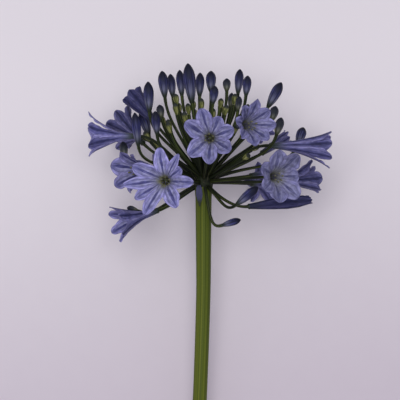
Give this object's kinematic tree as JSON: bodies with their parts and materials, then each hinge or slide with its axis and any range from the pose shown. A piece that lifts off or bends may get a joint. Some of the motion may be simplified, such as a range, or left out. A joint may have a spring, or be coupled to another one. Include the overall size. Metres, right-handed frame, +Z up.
{
  "type": "cut agapanthus flower stem",
  "caption": "Cut agapanthus stem lying on a surface: bare green scape with a round head of blue trumpet florets, opening buds and unripe buds on long pedicels.",
  "frame": {"origin": "middle of the base of the plant's box, on the surface it lies on", "axes": "+Y from the cut end along the scape to the head, +Z up from the surface, +X across the head to the right seen from above with the head away"},
  "size_m": [0.184, 0.3718, 0.1509],
  "materials": {
    "green_stem": "satin fresh green stalk with fine lengthwise ribs",
    "blue_tepal": "soft matte violet-blue petal with pale margins and darker midrib",
    "blue_bud": "satin slate-blue bud, greener at its foot",
    "dry_bract": "matte dry papery bract"
  },
  "bodies": {
    "root": {"scape_and_pedicels": "green_stem", "bract": "dry_bract", "floret_front_centre": "blue_tepal", "floret_front_low_left": "blue_tepal", "floret_front_high_right": "blue_tepal", "floret_right_star": "blue_tepal", "floret_left_front": "blue_tepal", "floret_left_trumpet": "blue_tepal", "floret_left_high": "blue_tepal", "floret_left_behind": "blue_tepal", "floret_low_left_trumpet": "blue_tepal", "floret_right_trumpet": "blue_tepal", "floret_right_behind": "blue_tepal", "floret_right_opening": "blue_tepal", "floret_low_right_opening": "blue_tepal", "floret_back_centre": "blue_tepal", "floret_back_low_left": "blue_tepal", "floret_back_low_right": "blue_tepal", "floret_back_high_right": "blue_tepal", "floret_back_left": "blue_tepal", "floret_back_right": "blue_tepal", "bud_high_left": "blue_bud", "bud_top_left": "blue_bud", "bud_top_left_behind": "blue_bud", "bud_top_slim": "blue_bud", "bud_top_largest": "blue_bud", "bud_top_centre": "blue_bud", "bud_top_right_of_centre": "blue_bud", "bud_mid_centre": "blue_bud", "bud_top_small": "blue_bud", "bud_top_right": "blue_bud", "bud_top_right_front": "blue_bud", "bud_mid_right_behind": "blue_bud", "bud_above_high_right": "blue_bud", "bud_high_right": "blue_bud", "bud_right_small": "blue_bud", "bud_right_upright": "blue_bud", "bud_far_right": "blue_bud", "bud_left_small": "blue_bud", "bud_left_upright": "blue_bud", "bud_left_long": "blue_bud", "bud_left_green": "blue_bud", "bud_left_behind": "blue_bud", "bud_low_left": "blue_bud", "bud_low_right": "blue_bud", "bud_hanging": "blue_bud"}
  },
  "joints": []
}
